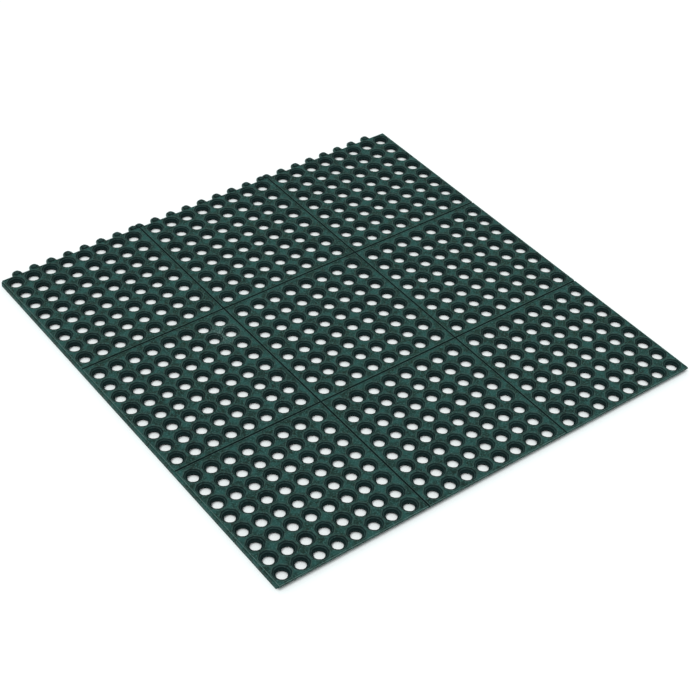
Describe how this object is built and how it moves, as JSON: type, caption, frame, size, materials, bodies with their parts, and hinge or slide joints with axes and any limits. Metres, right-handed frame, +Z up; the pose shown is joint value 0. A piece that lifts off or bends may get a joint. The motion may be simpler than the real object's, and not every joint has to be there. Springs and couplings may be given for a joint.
{
  "type": "rubber mat",
  "caption": "Perforated moulded rubber drainage floor mat, square, with grooves that part it into fields and knobbed joining tabs along one edge.",
  "frame": {"origin": "middle of the hole pattern, on the flat underside", "axes": "+Z up out of the walking face, +Y towards the edge with the knobbed tabs, +X along that edge, to the right when it is looked at from the plain edge opposite"},
  "size_m": [0.91, 0.9298, 0.0127],
  "materials": {
    "rubber": "matt moulded rubber, very dark green, faintly mottled"
  },
  "bodies": {
    "root": {"front_strip": "rubber", "middle_strip": "rubber", "back_strip": "rubber"}
  },
  "joints": []
}
